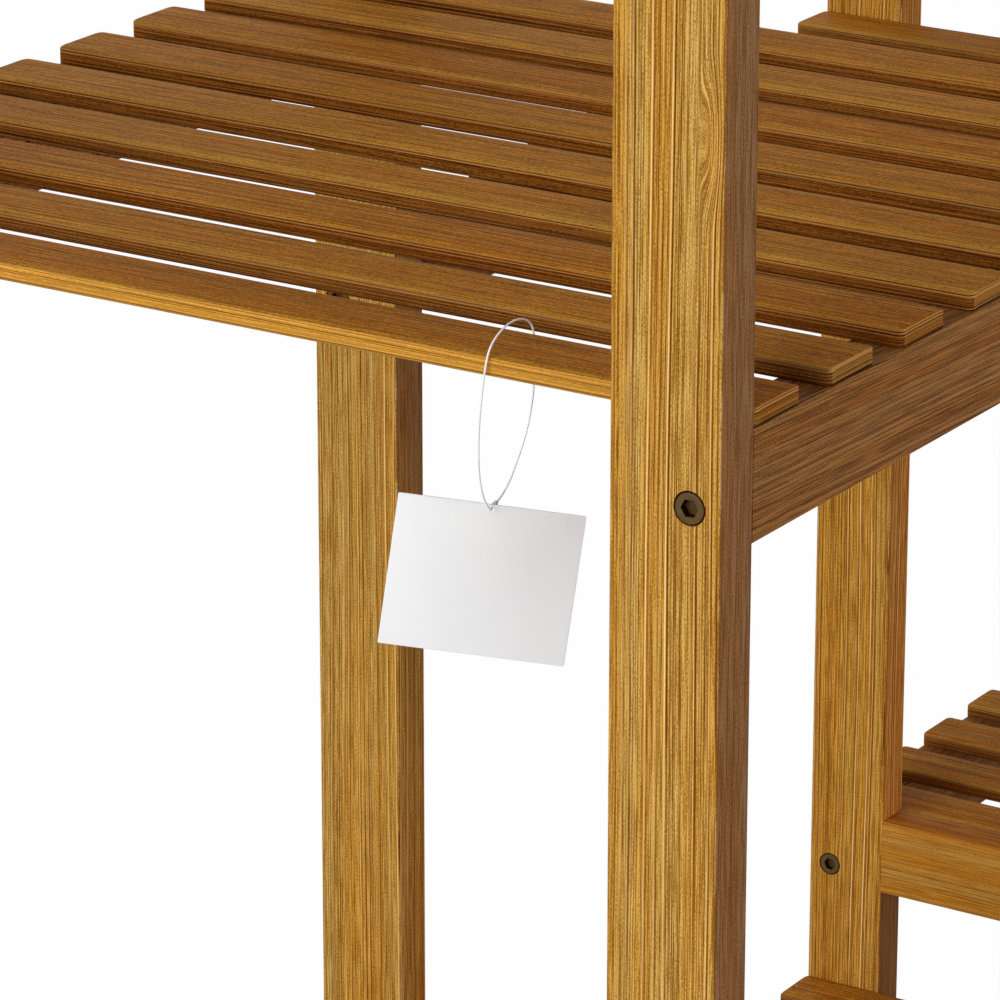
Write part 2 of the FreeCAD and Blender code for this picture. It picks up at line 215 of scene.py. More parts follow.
def ease(made, edges, radius, segments):
    """Rounds edges of a bmesh."""
    bmesh.ops.bevel(
        made,
        geom=edges,
        offset=radius,
        segments=segments,
        profile=0.5,
        affect="EDGES",
        material=-1,
        clamp_overlap=True,
    )


def finished(made, name):
    """A mesh made from a bmesh, which is freed."""
    mesh = bpy.data.meshes.new(name)
    made.to_mesh(mesh)
    made.free()
    return mesh


bm = drill((0, 0, 0), 2, LOCK_RADIUS, LOCK_LENGTH, segments=16)
ease(bm, edges_across(bm, 2), LOCK_EASE, segments=3)
turn = lock_way.to_track_quat("Z", "Y").to_matrix().to_4x4()
middle = lock_foot + lock_way * LOCK_LENGTH / 2
bmesh.ops.transform(bm, matrix=Matrix.Translation(middle) @ turn, verts=bm.verts)
for face in bm.faces:
    face.smooth = len(face.verts) == 4
lock = show("lock", finished(bm, "lock"), nylon, nodes=["tag_lock"])

# Card of the hang tag
# A bare white card of stiff coated board, die cut with small round corners, punched with
# one eye near the middle of its upper edge. It swings on the loop.

CARD_WIDTH = 0.055
CARD_HEIGHT = 0.047
CARD_THICKNESS = 0.0005
CARD_CORNER = 0.0005
CARD_EDGE = 0.00018
EYE_RADIUS = 0.0008
EYE_DROP = 0.0017
CARD_TURN = math.radians(-57.5)
CARD_LEAN = math.radians(7.9)
CARD_SHADED = (0.82, 0.845, 0.9)
CARD_BRIGHT = (0.865, 0.89, 0.935)
eye = TAG_EDGE + Vector((10, 0, -50.3)) * MM


def block(low, high):
    """A box between two corners, as a bmesh."""
    low, high = Vector(low), Vector(high)
    made = bmesh.new()
    bmesh.ops.create_cube(made, size=1)
    bmesh.ops.scale(made, vec=high - low, verts=made.verts)
    bmesh.ops.translate(made, vec=(low + high) / 2, verts=made.verts)
    return made


def edges_along(made, axis):
    """The edges of a bmesh that run along one axis, 0, 1 or 2."""
    found = []
    for edge in made.edges:
        way = edge.verts[1].co - edge.verts[0].co
        if abs(way[axis]) > 0.999 * way.length:
            found.append(edge)
    return found


def cut(made, tools):
    """Takes the tools, bmeshes too, out of a bmesh and returns the rest as a mesh."""
    parts = []
    for number, source in enumerate([made, *tools]):
        name = f"cut_{number}"
        parts.append(bpy.data.objects.new(name, finished(source, name)))
        bpy.context.scene.collection.objects.link(parts[-1])
    for tool in parts[1:]:
        modifier = parts[0].modifiers.new("cut", "BOOLEAN")
        modifier.operation = "DIFFERENCE"
        modifier.solver = "EXACT"
        modifier.object = tool
    graph = bpy.context.evaluated_depsgraph_get()
    result = bpy.data.meshes.new_from_object(parts[0].evaluated_get(graph))
    for part in parts:
        bpy.data.objects.remove(part)
    return result


def soften(mesh, degrees=30):
    """Smooth shading, with edges sharper than an angle kept crisp."""
    mesh.polygons.foreach_set("use_smooth", [True] * len(mesh.polygons))
    mesh.set_sharp_from_angle(angle=math.radians(degrees))
    return mesh


board, tree, shader = material("coated card")
place = add(tree, "TexCoord").outputs["Object"]
fleck = add(tree, "TexNoise", {"Vector": place, "Scale": 2600, "Detail": 3}).outputs["Fac"]
shade = add(tree, "TexNoise", {"Vector": place, "Scale": 30, "Detail": 2}).outputs["Fac"]
blend = maths(tree, "MULTIPLY_ADD", fleck, 0.5, shade)
ramp = add(tree, "ValToRGB", {"Fac": blend})
ramp.color_ramp.elements[0].position = 0.45
ramp.color_ramp.elements[0].color = rgba(CARD_SHADED)
ramp.color_ramp.elements[1].position = 1
ramp.color_ramp.elements[1].color = rgba(CARD_BRIGHT)
tree.links.new(ramp.outputs[0], shader.inputs["Base Color"])
shader.inputs["Roughness"].default_value = 0.42
bump = add(tree, "Bump", {"Height": fleck, "Strength": 0.15, "Distance": 0.00005})
tree.links.new(bump.outputs[0], shader.inputs["Normal"])

low = (-CARD_WIDTH / 2, -CARD_THICKNESS / 2, EYE_DROP - CARD_HEIGHT)
high = (CARD_WIDTH / 2, CARD_THICKNESS / 2, EYE_DROP)
bm = block(low, high)
ease(bm, edges_along(bm, 1), CARD_CORNER, segments=5)
ease(bm, edges_across(bm, 1), CARD_EDGE, segments=2)
punch = drill((0, 0, 0), 1, EYE_RADIUS, 4 * CARD_THICKNESS, segments=24)
mesh = soften(cut(bm, [punch]), degrees=35)
turn = Matrix.Rotation(CARD_TURN, 4, "Z") @ Matrix.Rotation(CARD_LEAN, 4, "Y")
mesh.transform(Matrix.Translation(eye) @ turn)
card = show("card", mesh, board, body="tag", nodes=["tag_card"])

# Posts
# Eight straight sticks of oiled hardwood, 36 by 18 mm, with rounded edges. Each is bored
# through its wide faces for the bolts of the rails, with a flat seat for each bolt head.

FRAME_NUMBERS = (1, 2, 3, 4)
POST_EASE = 0.0007
HEAD_RADIUS = 0.005
HEAD_HEIGHT = 0.005
SEAT_RADIUS = 0.00522
SHANK_RADIUS = 0.003
SHANK_HOLE_RADIUS = 0.00315
BOLT_INSET = 0.01
BOLT_DROP = 0.02
WALL = 0.018
WALL_MARGIN = 0.001
SHELVES = (
    "bay1_low",
    "bay1_mid",
    "bay1_top",
    "bay2_low",
    "bay2_mid",
    "bay3_low",
    "bay3_mid",
)

# The tones of three posts, and for their narrow sides, heights with the strength of
# painted light and shade at each: painted shade over all of post_front_1's side, painted
# shadow under the shelf on post_back_2's side with a little painted light lower down,
# and on post_back_3's side painted shadow under the low cross rail and painted light
# above it. From one height to the next it changes evenly.
CROSS_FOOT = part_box("cross_rail_low_3")[0].z
POST_TONES = {"post_front_1": 0.0, "post_back_2": 0.0, "post_back_3": -1.0}
POST_SIDE_SHADES = {
    "post_front_1": ((0.0, 1.0),),
    "post_back_2": ((0.34, -0.26), (0.39, -0.05), (0.49, 0.75), (0.51, 1.0)),
    "post_back_3": ((CROSS_FOOT + 0.01, 1.0), (CROSS_FOOT + 0.02, -0.75)),
}
UNSHADED = ((0.0, 0.0),)

# Growth lines per metre, and the noise in the grain: each layer's rate across the board in
# growth lines, its rate along the board per metre, and a start of its own.
LINES = 260
GRAIN = {
    "fine": (4, 2, 3.1),
    "hair": (7, 7, 8.9),
    "band": (0.3, 1.1, 5.7),
    "warmth": (0.5, 1.4, 6.6),
    "silk": (12, 60, 9.9),
    "strength": (2, 9, 2.2),
    "short": (4, 16, 4.4),
    "broken": (9, 55, 1.3),
}
TONE_SHARES = {"fine": 0.7, "hair": 1.5, "silk": 4.5, "fibre": 4.5}
DRIFT = (22, 2.5, 7.7)
DRIFT_REACH = 0.008
BOARD_STEP = 7.3
VEIN_STEP = 31.7

# Half widths in metres of the growth lines and of the pale line beside each, then for the
# finer lines their rates in growth lines, half widths, strengths and layers of noise, and
# last the lines between the layers that show in the edges of a board.
LINE_HALF = 0.00036
GLOW_OFFSET = 0.0006
GLOW_HALF = 0.00034
FINER_LINES = ((2.6, 0.00024, 1.0, "short"), (5.5, 0.00018, 1.5, "broken"))
LAYERS_PER_METRE = 1000
LAYER_HALF = 0.00022
LAYER_GLOW_OFFSET = 0.0004
LAYER_GLOW_HALF = 0.00025

WARM_TINT = (1.0, 0.82, 0.5)
CURL_TINT = (1.0, 0.78, 0.45)
LAYER_GLOW = (0.8, 0.47, 0.2)
SHINE_TINT = (1.0, 0.75, 0.35)
draw = random.Random(11)


def mark(mesh, boards=1, top=0.0, tone=None):
    """Marks each board of a mesh: X its place in the grain, Y its tone, Z its top.

    On posts, which need no top, Z says how much painted shade, or below zero painted
    light, lies on the narrow sides."""
    values = []
    count = len(mesh.vertices) // boards
    for _ in range(boards):
        place, chance = draw.uniform(0, 9), draw.uniform(-1, 1)
        values += [place, chance if tone is None else tone, top] * count
    layer = mesh.attributes.new("board", "FLOAT_VECTOR", "POINT")
    layer.data.foreach_set("vector", values)
    return mesh


def side_shade_at(points, height):
    """How much painted shade, or below zero painted light, lies on the narrow side of a post at a
    height.
    """
    found = points[0][1]
    for (low, first), (high, second) in zip(points, points[1:]):
        share = min(max((height - low) / (high - low), 0), 1)
        found += (second - first) * share
    return found


def wood(
    name,
    along,
    across,
    light,
    middle,
    dark,
    pale,
    contrast=1.0,
    shine=0.08,
    grit=(4000, 0.3),
    faces=(),
    shade_from_mark=False,
    layers=(),
    front_light_and_shade=None,
    curl=None,
):
    """Straight-grained wood: lines that follow the board, fine fibres and broad bands.

    along and across are the ways of the fibres and of the growth rings. light, middle,
    dark and pale are its colours, the last two those of the lines and of the glow beside
    them. grit is the rate of the pores and their stretch along the board. Each of faces
    puts painted light and shade on the faces that look one way: an axis and its sign, an
    amount, how far it hides the lines, and its tint, and the flag after it lets the board's
    mark set the amount. layers gives the depths, half widths, shares and tints of lines
    below the top: pale glue lines, and a dark line of painted contact shadow at the foot.
    The next argument is a painted highlight along the front edge, where light falls on its
    rounding: its reach, share and tint, and the tint of painted shade on the front edges
    behind the first, where the slat before shades them. curl is where the fibres bend: its
    centre, its size, and how far they shift."""
    made, tree, shader = material(name)

    def times(first, second, more=0.0, clamp=False):
        """Two values multiplied, with a third added."""
        return maths(tree, "MULTIPLY_ADD", first, second, more, clamp)

    def less(first, second, clamp=False):
        """One value taken from another."""
        return maths(tree, "SUBTRACT", first, second, clamp=clamp)

    def most(first, second):
        """The greater of two values."""
        return maths(tree, "MAXIMUM", first, second)

    def read(attribute, output="Fac"):
        """What the mesh says in one of its attributes."""
        node = add(tree, "Attribute", attribute_name=attribute, attribute_type="GEOMETRY")
        return node.outputs[output]

    def reach_along(way):
        """How far a spot lies along a way."""
        node = add(tree, "VectorMath", {0: place, 1: way}, operation="DOT_PRODUCT")
        return node.outputs["Value"]

    def fade(value, start, end, kind="SMOOTHSTEP"):
        """0 where a value is at its start, 1 at its end, and soft between."""
        inputs = {"Value": value, "From Min": start, "From Max": end}
        return add(tree, "MapRange", inputs, interpolation_type=kind).outputs[0]

    def turned(axis, sign, start=0.45, end=0.8):
        """1 on the faces that look one way."""
        return fade(facing[axis], start * sign, end * sign)

    def line_at(value, level, half):
        """1 where a value crosses a level, 0 away from it."""
        off = maths(tree, "ABSOLUTE", less(value, level))
        return fade(off, half, half * 0.3)

    def grain(across_rate, along_rate, start):
        """Noise that is stretched along the fibres."""
        spot = add(
            tree,
            "CombineXYZ",
            {
                "X": times(ring, across_rate),
                "Y": times(run, along_rate),
                "Z": times(own["X"], BOARD_STEP, start),
            },
        )
        inputs = {"Vector": spot.outputs[0], "Scale": 1.0, "Detail": 1.0, "Roughness": 0.6}
        return add(tree, "TexNoise", inputs).outputs["Fac"]

    def veins(per_metre, start, source):
        """Lines at uneven distances: the offset from the nearest, and its two chances."""
        spot = times(source, per_metre, times(own["X"], VEIN_STEP, start))
        cell = add(tree, "TexVoronoi", {"W": spot, "Scale": 1.0}, voronoi_dimensions="1D")
        off = maths(tree, "DIVIDE", less(spot, cell.outputs["W"]), per_metre)
        chance = add(tree, "SeparateColor", {0: cell.outputs["Color"]}).outputs
        return off, chance[0], chance[1]

    # Where a spot lies along the fibres and across the rings. On the edges of a board in
    # layers the rings follow its height, and round a curl they bend.
    place = add(tree, "TexCoord").outputs["Object"]
    own = add(tree, "SeparateXYZ", {0: read("board", "Vector")}).outputs
    facing = add(tree, "SeparateXYZ", {0: add(tree, "TexCoord").outputs["Normal"]}).outputs
    run = reach_along(along)
    ring = reach_along(across)
    if layers:
        height = add(tree, "SeparateXYZ", {0: place}).outputs["Z"]
        depth = less(less(own["Z"], height), read("fall"))
        sides = less(1.0, turned(2, 1, start=0.75, end=0.95), clamp=True)
        ring = times(sides, less(height, ring), ring)
    if curl:
        centre, size, shift = curl
        far = add(tree, "VectorMath", {0: place, 1: centre}, operation="SUBTRACT").outputs[0]
        far = add(tree, "VectorMath", {0: far, 1: size}, operation="DIVIDE").outputs[0]
        far = add(tree, "VectorMath", {0: far}, operation="LENGTH").outputs["Value"]
        bend = fade(far, 1.0, 0.0, kind="SMOOTHERSTEP")
        ring = times(bend, shift, ring)
    ring = times(grain(*DRIFT), DRIFT_REACH, ring)

    # Bands, fibres and warm zones.
    noise = {}
    for part, (across_rate, along_rate, start) in GRAIN.items():
        noise[part] = grain(LINES * across_rate, along_rate, start)
    pores = add(tree, "Mapping", {0: place})
    pores.inputs["Scale"].default_value = [grit[1] if abs(way) > 0.9 else 1.0 for way in along]
    inputs = {"Vector": pores.outputs[0], "Scale": grit[0], "Detail": 1}
    noise["fibre"] = add(tree, "TexNoise", inputs).outputs["Fac"]
    tone = times(noise["band"], 0.8, 0.15)
    for part, share in TONE_SHARES.items():
        tone = times(less(noise[part], 0.5), share * contrast, tone)
    tone = times(own["Y"], 0.15, tone, clamp=True)
    warm = times(own["Y"], -0.5, times(noise["warmth"], 4.5, -1.9), clamp=True)
    colour = paint(tree, middle, tone, light)
    colour = paint(tree, colour, warm, WARM_TINT, "MULTIPLY")
    plain = colour

    # Growth lines with a pale glow beside them, and two sets of finer lines.
    off, chance, other = veins(LINES, 0.0, ring)
    weight = times(noise["strength"], 4.0, -1.2, clamp=True)
    darker = times(line_at(off, 0.0, LINE_HALF), weight)
    darker = times(darker, times(chance, 0.8, 0.2))
    glow = times(line_at(off, GLOW_OFFSET, GLOW_HALF), weight)
    glow = times(glow, times(other, 1.0, -0.2, clamp=True))
    for rate, half, share, part in FINER_LINES:
        off, chance, _ = veins(LINES * rate, 3.3 + rate, ring)
        line = times(line_at(off, 0.0, half), times(chance, share))
        darker = most(darker, times(line, times(noise[part], 3.4, -1.1, clamp=True)))
    darker = times(darker, contrast, clamp=True)
    colour = paint(tree, colour, darker, dark)
    colour = paint(tree, colour, times(glow, contrast), pale)

    # Painted light and shade on the faces that look one way.
    for axis, sign, amount, calm, tint in faces:
        if shade_from_mark:
            amount = times(own["Z"], amount, clamp=True)
        amount = times(turned(axis, sign), amount)
        colour = paint(tree, colour, times(amount, calm), plain)
        colour = paint(tree, colour, amount, tint, "MULTIPLY")

    # A painted highlight along the front edges, where light falls on their rounding, in
    # patches on the tops and on the front face of the first slat; painted shade on the front
    # faces of the slats behind it, where the slat before shades them.
    if front_light_and_shade:
        reach, share, tint, shaded = front_light_and_shade
        behind = read("behind")
        patch = times(noise["band"], 2.4, -0.5, clamp=True)
        speck = times(noise["fibre"], 2.5, -0.65, clamp=True)
        streak = times(noise["hair"], 3.0, -0.8, clamp=True)
        patch = most(times(times(patch, speck), streak), times(turned(0, -1), 0.45))
        painted_gap_shade = times(turned(0, -1, start=0.25, end=0.5), behind)
        colour = paint(tree, colour, painted_gap_shade, shaded, "MULTIPLY")
        highlit_faces = most(times(turned(0, -1), less(1.0, behind)), turned(2, 1))
        wear_and_highlight = times(times(fade(read("front"), reach, 0.0), patch), times(highlit_faces, share))
        colour = paint(tree, colour, wear_and_highlight, tint)
    if curl:
        colour = paint(tree, colour, times(bend, 0.5), CURL_TINT, "MULTIPLY")

    # The layers that show in the edges, the glue between them, and a dark line of painted contact
    # shadow at the foot.
    if layers:
        off, chance, other = veins(LAYERS_PER_METRE, 0.7, depth)
        line = times(times(line_at(off, 0.0, LAYER_HALF), chance), sides)
        colour = paint(tree, colour, line, dark)
        line = times(line_at(off, LAYER_GLOW_OFFSET, LAYER_GLOW_HALF), other)
        line = times(times(line, times(turned(1, -1), 0.3, 0.25)), sides)
        colour = paint(tree, colour, line, LAYER_GLOW)
        ends = times(times(turned(1, -1), 0.65, 0.35), sides)
        for level, half, share, tint in layers:
            glue = times(line_at(depth, level, half), share)
            colour = paint(tree, colour, times(glue, ends), tint)

    tree.links.new(colour, shader.inputs["Base Color"])
    gloss = times(noise["fibre"], 0.25, 0.5)
    tree.links.new(gloss, shader.inputs["Roughness"])
    shader.inputs["Specular IOR Level"].default_value = shine
    shader.inputs["Specular Tint"].default_value = rgba(SHINE_TINT)
    relief = less(noise["fibre"], darker)
    bump = add(tree, "Bump", {"Height": relief, "Strength": 0.25, "Distance": 0.00012})
    tree.links.new(bump.outputs[0], shader.inputs["Normal"])
    return made


def seats_of(side):
    """Where the bolt heads of one side sit, on the faces of their posts."""
    found = []
    for shelf in SHELVES:
        low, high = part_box(f"rail_{side}_{shelf}")
        line = low.y + BOLT_INSET if side == "front" else high.y - BOLT_INSET
        height = high.z - BOLT_DROP
        found.append(Vector((low.x - WALL, line, height)))
        found.append(Vector((high.x + WALL, line, height)))
    return found


def score(made, spot, way):
    """Divides the faces of a bmesh along a plane, and keeps both sides."""
    geometry = made.verts[:] + made.edges[:] + made.faces[:]
    bmesh.ops.bisect_plane(made, geom=geometry, plane_co=spot, plane_no=way)


post_wood = wood(
    "oiled post wood",
    along=(0, 0, 1),
    across=(0.75, 0.9, 0.002),
    light=(0.63, 0.412, 0.118),
    middle=(0.35, 0.175, 0.02),
    dark=(0.15, 0.042, 0.005),
    pale=(0.85, 0.56, 0.2),
    # Painted shade, darker and greyer, on the narrow sides facing -Y where the mark is above zero,
    # and painted light where it is below zero.
    faces=((1, -1, 1.0, 0.75, (0.66, 0.58, 1.0)), (1, -1, -1.0, 0.0, (1.6, 1.44, 1.65))),
    contrast=1.35,
    shade_from_mark=True,
    curl=((-0.588, -0.1955, 0.762), (0.02, 0.0055, 0.03), 0.0029),
)
for side in ("front", "back"):
    for frame_number in FRAME_NUMBERS:
        node = f"post_{side}_{frame_number}"
        low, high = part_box(node)
        bm = block(low, high)
        ease(bm, bm.edges[:], POST_EASE, segments=4)
        side_shades = POST_SIDE_SHADES.get(node, UNSHADED)
        for height, _ in side_shades:
            score(bm, (0, 0, height), (0, 0, 1))
        tools = []
        for seat in seats_of(side):
            if abs(seat.x - low.x) > WALL_MARGIN and abs(seat.x - high.x) > WALL_MARGIN:
                continue
            through = Vector(((low.x + high.x) / 2, seat.y, seat.z))
            tools.append(drill(through, 0, SHANK_HOLE_RADIUS, 2 * WALL, segments=20))
            tools.append(drill(seat, 0, SEAT_RADIUS, 2 * HEAD_HEIGHT, segments=40))
        mesh = mark(soften(cut(bm, tools)), tone=POST_TONES.get(node))
        for vert, entry in zip(mesh.vertices, mesh.attributes["board"].data):
            entry.vector = (entry.vector[0], entry.vector[1], side_shade_at(side_shades, vert.co.z))
        show(node + "_wood", mesh, post_wood, nodes=[node])

# Cross rails
# Two for each frame, of 34 by 18 mm stock, doweled and glued between the posts: one level
# with the low shelves and one at the head of the frame.

RAIL_EASE = 0.0008

cross_wood = wood(
    "oiled cross rail wood",
    along=(0, 1, 0),
    across=(0.35, 0.004, 0.93),
    light=(0.57, 0.3, 0.058),
    middle=(0.325, 0.15, 0.022),
    dark=(0.13, 0.045, 0.007),
    pale=(0.68, 0.38, 0.1),
    contrast=0.7,
    shine=0.03,
    # Painted shade on the tops: browner and redder than the faces that get the light.
    faces=((2, 1, 1.0, 0.0, (1.1, 0.88, 0.75)),),
)
for frame_number in FRAME_NUMBERS:
    for level in ("low", "head"):
        node = f"cross_rail_{level}_{frame_number}"
        bm = block(*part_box(node))
        ease(bm, edges_along(bm, 1), RAIL_EASE, segments=4)
        mesh = mark(soften(finished(bm, node)))
        show(node + "_wood", mesh, cross_wood, nodes=[node])

# Side rails
# One pair for each shelf, 34 by 18 mm, between the posts of two frames. A bolt runs into
# each end, and a barrel nut in a hole from the inner face takes it.

NUT_RADIUS = 0.005
NUT_LENGTH = 0.012
NUT_SETBACK = 0.027
NUT_HOLE_RADIUS = 0.0051
NUT_HOLE_DEPTH = 0.0141

rail_wood = wood(
    "oiled rail wood",
    along=(1, 0, 0),
    across=(0.03, 0.4, 0.91),
    light=(0.48, 0.23, 0.068),
    middle=(0.22, 0.093, 0.021),
    dark=(0.06, 0.021, 0.005),
    pale=(0.55, 0.28, 0.1),
    contrast=1.1,
    # Painted shade on the tops, under and between the slats.
    faces=((2, 1, 1.0, 0.0, (0.85, 0.8, 0.8)),),
)
nut_places = []
for shelf in SHELVES:
    for side in ("front", "back"):
        node = f"rail_{side}_{shelf}"
        low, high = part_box(node)
        bm = block(low, high)
        ease(bm, edges_along(bm, 0), RAIL_EASE, segments=4)
        outer, inner = (low.y, high.y) if side == "front" else (high.y, low.y)
        inward = 1 if side == "front" else -1
        tools = []
        for x in (low.x + NUT_SETBACK, high.x - NUT_SETBACK):
            middle = Vector((x, inner, high.z - BOLT_DROP))
            tools.append(drill(middle, 1, NUT_HOLE_RADIUS, 2 * NUT_HOLE_DEPTH, segments=32))
            nut_places.append((Vector((x, outer + inward * BOLT_INSET, middle.z)), inward))
        mesh = mark(soften(cut(bm, tools)))
        show(node + "_wood", mesh, rail_wood, nodes=[node])

# Barrel nuts
# Plain bright steel barrels in the rails, with a screwdriver slot across the inner end
# that turns the thread towards the bolt.

BAYS = 3
SLOT_WIDTH = 0.0014
SLOT_DEPTH = 0.0016
NUT_EASE = 0.0004
THREAD_RADIUS = 0.00309
NUT_TURN = 0.12
STEEL_DULL = (0.36, 0.36, 0.35)
STEEL_BRIGHT = (0.62, 0.62, 0.6)

steel, tree, shader = material("turned steel")
place = add(tree, "TexCoord").outputs["Object"]
rub = add(tree, "TexNoise", {"Vector": place, "Scale": 1500, "Detail": 4}).outputs["Fac"]
ramp = add(tree, "ValToRGB", {"Fac": rub})
ramp.color_ramp.elements[0].color = rgba(STEEL_DULL)
ramp.color_ramp.elements[1].color = rgba(STEEL_BRIGHT)
tree.links.new(ramp.outputs[0], shader.inputs["Base Color"])
shader.inputs["Metallic"].default_value = 1.0
rough = maths(tree, "MULTIPLY_ADD", rub, 0.2, 0.25)
tree.links.new(rough, shader.inputs["Roughness"])


def repeat(pattern, places):
    """One bmesh made of copies of a mesh, each placed by a matrix."""
    made = bmesh.new()
    for matrix in places:
        copy = pattern.copy()
        copy.transform(matrix)
        made.from_mesh(copy)
        bpy.data.meshes.remove(copy)
    return made


bm = drill((0, 0, 0), 2, NUT_RADIUS, NUT_LENGTH, segments=32)
ease(bm, edges_across(bm, 2), NUT_EASE, segments=2)
slot_low = (-SLOT_WIDTH / 2, -2 * NUT_RADIUS, NUT_LENGTH / 2 - SLOT_DEPTH)
slot_high = (SLOT_WIDTH / 2, 2 * NUT_RADIUS, NUT_LENGTH)
thread = drill((0, 0, 0), 0, THREAD_RADIUS, 4 * NUT_RADIUS, segments=20)
nut_pattern = soften(cut(bm, [block(slot_low, slot_high), thread]), degrees=35)
for bay in range(1, BAYS + 1):
    low_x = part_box(f"post_front_{bay}")[1].x
    high_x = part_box(f"post_front_{bay + 1}")[0].x
    matrices = []
    for middle, inward in nut_places:
        if low_x < middle.x < high_x:
            turn = Vector((0, inward, 0)).to_track_quat("Z", "X").to_matrix().to_4x4()
            spin = Matrix.Rotation(draw.uniform(-NUT_TURN, NUT_TURN), 4, "Z")
            matrices.append(Matrix.Translation(middle) @ turn @ spin)
    mesh = finished(repeat(nut_pattern, matrices), f"barrel_nuts_{bay}")
    node = f"barrel_nuts_bay_{bay}"
    show(node + "_steel", soften(mesh, degrees=35), steel, nodes=[node])

# Slats
# Nine boards for each shelf, 26 by 6 mm, glued down across the two rails. Their tops fall
# away towards both long edges, and their corners are rounded. Pale glue lines show in
# the edges. Painted light and shade lie on them: a painted highlight along the front
# edges, painted shade on the front faces behind the first slat and on the ends, and a
# dark line of painted contact shadow along their foot.

SLAT_WIDTH = 0.026
SLAT_COUNT = 9
SLAT_CORNER = 0.0021
CROWN_REACH = 0.005
CROWN_DROP = 0.0005
CROWN_STEPS = (0.0008, 0.0017, 0.0027, 0.0038, 0.005)
ARRIS = 0.0006
UPRIGHT = 0.7

slat_wood = wood(
    "oiled slat wood",
    along=(0, 1, 0),
    across=(0.97, 0.004, 0.1),
    light=(0.72, 0.33, 0.046),
    middle=(0.375, 0.145, 0.013),
    dark=(0.1, 0.025, 0.003),
    pale=(0.7, 0.32, 0.06),
    contrast=1.15,
    shine=0.02,
    grit=(2400, 0.35),
    # Painted shade, greyer and darker, on the ends that face -Y.
    faces=((1, -1, 1.0, 0.0, (0.8, 0.88, 1.1)),),
    layers=(
        (0.00025, 0.00026, 0.85, (0.8, 0.43, 0.12)),
        (0.00105, 0.00024, 0.85, (0.8, 0.45, 0.15)),
        # Painted contact shadow: a near black line along the foot of the edges, strongest on the
        # ends, where a slat sits on its rails.
        (0.0055, 0.0008, 0.95, (0.02, 0.006, 0.002)),
    ),
    # Painted highlight along the front edges, and painted shade on the front faces behind the
    # first slat.
    front_light_and_shade=(0.0074, 0.8, (0.72, 0.43, 0.07), (0.37, 0.295, 0.31)),
)


def crown(x, half):
    """How far the top of a slat lies below its middle, across the board."""
    return CROWN_DROP * max(1 - (half[0] - abs(x)) / CROWN_REACH, 0) ** 2


def slat(half, thickness):
    """One slat about the origin, its underside at zero height.

    It carries three attributes: front, the distance from its front edge, fall, how far
    the top lies below its middle, and behind, 1 on every slat but the first."""
    made = block((-half[0], -half[1], 0), (half[0], half[1], thickness))
    ease(made, edges_along(made, 2), SLAT_CORNER, segments=5)
    for sign in (-1, 1):
        for step in CROWN_STEPS:
            score(made, (sign * (half[0] - step), 0, 0), (1, 0, 0))
    for vert in made.verts:
        if vert.co.z > thickness / 2:
            vert.co.z -= crown(vert.co.x, half)
    made.normal_update()
    rims = []
    for edge in made.edges:
        if len(edge.link_faces) == 2:
            flat = [abs(face.normal.z) > UPRIGHT for face in edge.link_faces]
            if flat[0] != flat[1]:
                rims.append(edge)
    ease(made, rims, ARRIS, segments=3)
    front = made.verts.layers.float.new("front")
    fall = made.verts.layers.float.new("fall")
    made.verts.layers.float.new("behind")
    for vert in made.verts:
        vert[front] = vert.co.x + half[0]
        vert[fall] = crown(vert.co.x, half)
    return finished(made, "slat")


low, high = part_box("slats_bay1_mid")
slat_half = (SLAT_WIDTH / 2, (high.y - low.y) / 2)
slat_pattern = slat(slat_half, high.z - low.z)
for shelf in SHELVES:
    node = f"slats_{shelf}"
    low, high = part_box(node)
    pitch = (high.x - low.x - SLAT_WIDTH) / (SLAT_COUNT - 1)
    bm = bmesh.new()
    for number in range(SLAT_COUNT):
        before = len(bm.verts)
        bm.from_mesh(slat_pattern)
        bm.verts.ensure_lookup_table()
        fresh = bm.verts[before:]
        middle = (low.x + slat_half[0] + number * pitch, (low.y + high.y) / 2, low.z)
        bmesh.ops.translate(bm, vec=middle, verts=fresh)
        behind = bm.verts.layers.float["behind"]
        for vert in fresh:
            vert[behind] = min(number, 1)
    mesh = mark(soften(finished(bm, node)), boards=SLAT_COUNT, top=high.z)
    show(node + "_wood", mesh, slat_wood, nodes=[node])

# Bolts
# Flush M6 cap bolts with a browned bronze finish: a turned head with an eased rim and a
# hexagon socket, and a shank through the post into the rail's barrel nut.

SHANK_LENGTH = 0.051
HEAD_EASE = 0.0007
SOCKET_FLATS = 0.005
SOCKET_RADIUS = SOCKET_FLATS / math.sqrt(3)
SOCKET_DEPTH = 0.0026
HEAD_WEAR = 0.55
SOCKET_WEAR = 0.3
SQUARE_ON = 0.9
NEAR_BOLT = Vector((-0.588, -0.19, 0.655))
NEAR_TURN = math.radians(27)
BRONZE_DARK = (0.02, 0.006, 0.001)
BRONZE_WORN = (0.17, 0.105, 0.042)

bronze, tree, shader = material("browned bronze")
place = add(tree, "TexCoord").outputs["Object"]
rub = add(tree, "TexNoise", {"Vector": place, "Scale": 700, "Detail": 5}).outputs["Fac"]
wear_and_highlight = add(tree, "Attribute", attribute_name="wear_and_highlight", attribute_type="GEOMETRY").outputs["Fac"]
spoil = maths(tree, "MULTIPLY_ADD", rub, 0.5, -0.25)
ramp = add(tree, "ValToRGB", {"Fac": maths(tree, "ADD", wear_and_highlight, spoil, clamp=True)})
ramp.color_ramp.elements[0].color = rgba(BRONZE_DARK)
ramp.color_ramp.elements[1].color = rgba(BRONZE_WORN)
tree.links.new(ramp.outputs[0], shader.inputs["Base Color"])
shader.inputs["Metallic"].default_value = 0.05
shader.inputs["Specular IOR Level"].default_value = 0.06
rough = maths(tree, "MULTIPLY_ADD", rub, 0.25, 0.3)
